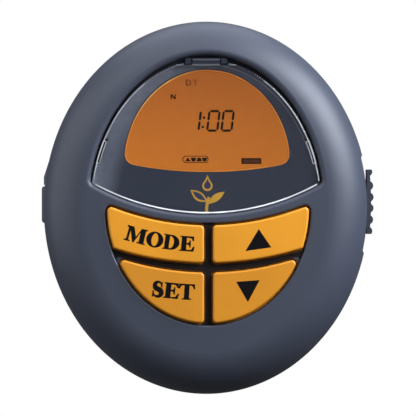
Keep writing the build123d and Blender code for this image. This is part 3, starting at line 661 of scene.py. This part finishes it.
# ---- painted highlight round the window: a bright orange strip for the lamp's light caught at its edge, with a dark border outside it
WINDOW_EDGE = window_outline(0.0)
plate("window_rim_highlight", [WINDOW_EDGE, window_outline(-0.4)], RIM_BACK, PANEL_FRONT - 0.05, "head", "rim_orange_highlight")
plate("window_border", [window_outline(0.35), WINDOW_EDGE], RIM_BACK, PANEL_FRONT - 0.03, "head", "border")

# ---- painted glow: a pale amber strip for the lamp's glow along the window's edge at its upper left
GLOW_WIDE, GLOW_STEPS = 0.45, 39
glow = arc(WINDOW_X, WINDOW_Z, WINDOW_RX - 0.05, WINDOW_RZ - 0.05, 92, 158, GLOW_STEPS + 1)
for i, (x, z) in reversed(list(enumerate(glow))[1:-1]):
    taper = GLOW_WIDE * math.sin(math.pi * i / GLOW_STEPS)
    glow.append((x + taper * 0.8, z - taper * 0.6))
plate("window_painted_glow", [glow], RIM_BACK, PANEL_FRONT - 0.08, "head", "glow")

# ---- painted highlights on the lid: pale strips along its polished edges and round its clip slots, with painted shade inside the slots
EDGE_BACK, EDGE_FRONT = LID_FRONT + 0.25, LID_FRONT + 0.02


def lid_arc(start, end, inset, wide):
    """A strip along the upper, oval edge of the lid between two angles, in degrees."""
    outer = arc(0, 0, LID_RX - inset, LID_RZ - inset, start, end, 60)
    return outer + arc(0, 0, LID_RX - inset - wide, LID_RZ - inset - wide, end, start, 60)


def lid_low(reach, inset, wide):
    """A strip along the lower edge of the lid, out to reach on either side."""
    radius = RECESS_ARC_R - 0.5 - inset
    centre = RECESS_ARC_LOW + RECESS_ARC_R
    xs = [-reach + 2 * reach * i / 80 for i in range(81)]
    outer = [(x, below(0, centre, radius, x)) for x in xs]
    return outer + [(x, below(0, centre, radius - wide, x)) for x in reversed(xs)]


# Painted highlights: near-white strips along the lid's lower and side edges.
plate("lid_low_edge", [lid_low(37.1, -0.36, 0.46)], EDGE_BACK, EDGE_FRONT, "lid", "glint")
plate("lid_right_edge", [lid_arc(10.6, 60.0, 0.22, 0.32)], EDGE_BACK, EDGE_FRONT, "lid", "glint")
plate("lid_left_edge", [lid_arc(122.0, 169.0, 0.22, 0.24)], EDGE_BACK, EDGE_FRONT, "lid", "glint")
# Fainter painted highlights: grey lines just inside the lid's upper edge.
plate("lid_inner_line", [lid_arc(24.0, 82.0, 1.5, 0.16)], EDGE_BACK, EDGE_FRONT, "lid", "edge")
plate("lid_inner_line_left", [lid_arc(98.0, 150.0, 1.5, 0.14)], EDGE_BACK, EDGE_FRONT, "lid", "edge")


def clip_frame(side):
    """The outline of the bar that clips the lid at one side, and the smaller one inside it."""
    loops = []
    for grow in (0.0, -0.36):
        low, high = CLIP_LOW - grow, CLIP_HIGH + grow
        ends = [math.degrees(math.asin(z / LID_RZ)) for z in (low, high)]
        outer = arc(0, 0, LID_RX - 0.06 + grow, LID_RZ - 0.06 + grow, *ends, 12)
        inner = arc(0, 0, LID_RX - 1.36 - grow, LID_RZ - 1.36 - grow, *reversed(ends), 12)
        loops.append([(x * side, z) for x, z in outer + inner])
    return loops


for side, label in ((-1, "left"), (1, "right")):
    # Painted highlight: a pale frame round each clip slot.
    plate(f"lid_clip_{label}", clip_frame(side), EDGE_BACK, EDGE_FRONT - 0.01, "lid", "glint")
    # Painted shade: black inside each clip slot.
    plate(f"lid_clip_shade_{label}", clip_frame(side)[1:], EDGE_BACK, EDGE_FRONT + 0.05, "lid", "painted_shade_black")


# ---- emblem under the lid: a drop over a sprout
def drop(cx, cz, size):
    """A water drop round a centre, pointed at the top."""
    shoulder = cz + size * 1.25
    return arc(cx, cz, size, size, 150, 390, 28) + [
        (cx + size * 0.35, shoulder), (cx, cz + size * 2.1), (cx - size * 0.35, shoulder)]


def leaf(x0, z0, x1, z1, belly):
    """A pointed leaf from its stalk to its tip."""
    dx, dz = x1 - x0, z1 - z0
    length = math.hypot(dx, dz)
    nx, nz = -dz / length, dx / length

    def edge(t, side):
        out = side * math.sin(math.pi * t)
        return (x0 + dx * t + nx * out, z0 + dz * t + nz * out)

    return [edge(i / 14, belly) for i in range(15)] + [edge(1 - i / 14, -0.8 * belly) for i in range(1, 14)]


EMBLEM_BACK, EMBLEM_FRONT = PANEL_FRONT + 0.02, PANEL_FRONT - 0.1
plate("emblem_drop", [drop(0.4, 7.4, 1.75), drop(0.4, 7.45, 1.15)],
      EMBLEM_BACK, EMBLEM_FRONT, "head", "yellow")
plate("emblem_drop_core", [drop(0.4, 7.45, 1.15)], EMBLEM_BACK, EMBLEM_FRONT + 0.04, "head", "navy")
plate("emblem_leaf", [leaf(0.5, 2.0, -5.3, 6.0, 1.7), leaf(-0.2, 2.5, -4.6, 5.5, 1.0)],
      EMBLEM_BACK, EMBLEM_FRONT, "head", "yellow")
plate("emblem_leaf_core", [leaf(-0.2, 2.5, -4.6, 5.5, 1.0)], EMBLEM_BACK, EMBLEM_FRONT + 0.04, "head", "navy")
plate("emblem_leaf_right", [leaf(0.5, 1.2, 6.2, 5.4, 1.3)], EMBLEM_BACK, EMBLEM_FRONT, "head", "yellow")
plate("emblem_stem", [stroke([(0.9, 3.6), (0.35, 1.6), (0.1, -0.2), (0.2, -1.5)], lambda t: 0.5)],
      EMBLEM_BACK, EMBLEM_FRONT, "head", "yellow")

# ---------------------------------------------------------------- light, floor and camera

def area(name, place, target, width, height, power, colour=(1, 1, 1)):
    data = bpy.data.lights.new(name, "AREA")
    data.shape = "RECTANGLE"
    data.size, data.size_y = width, height
    data.energy = power
    data.color = colour
    lamp = bpy.data.objects.new(name, data)
    lamp.location = place
    lamp.rotation_euler = (Vector(target) - Vector(place)).to_track_quat("-Z", "Y").to_euler()
    bpy.context.scene.collection.objects.link(lamp)


COOL = (0.86, 0.91, 1.0)
area("key_box", (0.40, -0.25, 0.28), (0.02, -0.03, 0.01), 0.42, 0.36, 7.9, COOL)
area("left_panel", (-0.8, -0.26, 0.2), (0, 0, 0), 1.3, 0.8, 5.9, COOL)
area("top_panel", (-0.05, 0.16, 0.85), (0, 0, 0), 1.0, 1.0, 7.0, COOL)
area("front_fill", (-0.12, -0.24, 0.28), (0, 0, 0.02), 0.3, 0.2, 0.33)

world = bpy.data.worlds.new("studio")
bpy.context.scene.world = world
world.use_nodes = True
tree = world.node_tree
tree.nodes.clear()
output = tree.nodes.new("ShaderNodeOutputWorld")
path = tree.nodes.new("ShaderNodeLightPath")
soft = tree.nodes.new("ShaderNodeBackground")
soft.inputs["Color"].default_value = (1.0, 1.0, 1.0, 1)
soft.inputs["Strength"].default_value = 0.115
white = tree.nodes.new("ShaderNodeBackground")
white.inputs["Color"].default_value = (1, 1, 1, 1)
white.inputs["Strength"].default_value = 1.0
both = tree.nodes.new("ShaderNodeMixShader")
tree.links.new(path.outputs["Is Camera Ray"], both.inputs[0])
tree.links.new(soft.outputs[0], both.inputs[1])
tree.links.new(white.outputs[0], both.inputs[2])
tree.links.new(both.outputs[0], output.inputs["Surface"])

# The floor is lit by itself, so that it is pale from every side, and it throws no light on the object.
FLOOR_HALF, FLOOR_Z = 3.0, -0.4
floor_mesh = bpy.data.meshes.new("floor")
floor_mesh.from_pydata(
    [(x * FLOOR_HALF, y * FLOOR_HALF, FLOOR_Z) for x, y in ((-1, -1), (1, -1), (1, 1), (-1, 1))],
    [], [(0, 1, 2, 3)])
floor = bpy.data.objects.new("floor", floor_mesh)
floor_mesh.materials.append(moulded(
    "pale_floor", (0.5, 0.5, 0.5, 1.0), 0.8, grain=40.0, drift=0.01,
    Emission_Color=(1.0, 1.0, 1.0, 1.0), Emission_Strength=0.93))
floor.visible_diffuse = False
floor.visible_glossy = False
floor.visible_transmission = False
bpy.context.scene.collection.objects.link(floor)

bpy.context.scene.view_settings.view_transform = "Standard"

FRAME_WIDE = 0.14125
CAMERA_AWAY = 1.5
camera_data = bpy.data.cameras.new("camera")
camera_data.sensor_width = 36
camera_data.lens = 36 * CAMERA_AWAY / FRAME_WIDE
camera_data.clip_end = 20
camera = bpy.data.objects.new("camera", camera_data)
camera.location = (0.00058, -0.025 - CAMERA_AWAY, -0.00007)
camera.rotation_euler = (math.radians(90), 0, 0)
bpy.context.scene.collection.objects.link(camera)
bpy.context.scene.camera = camera
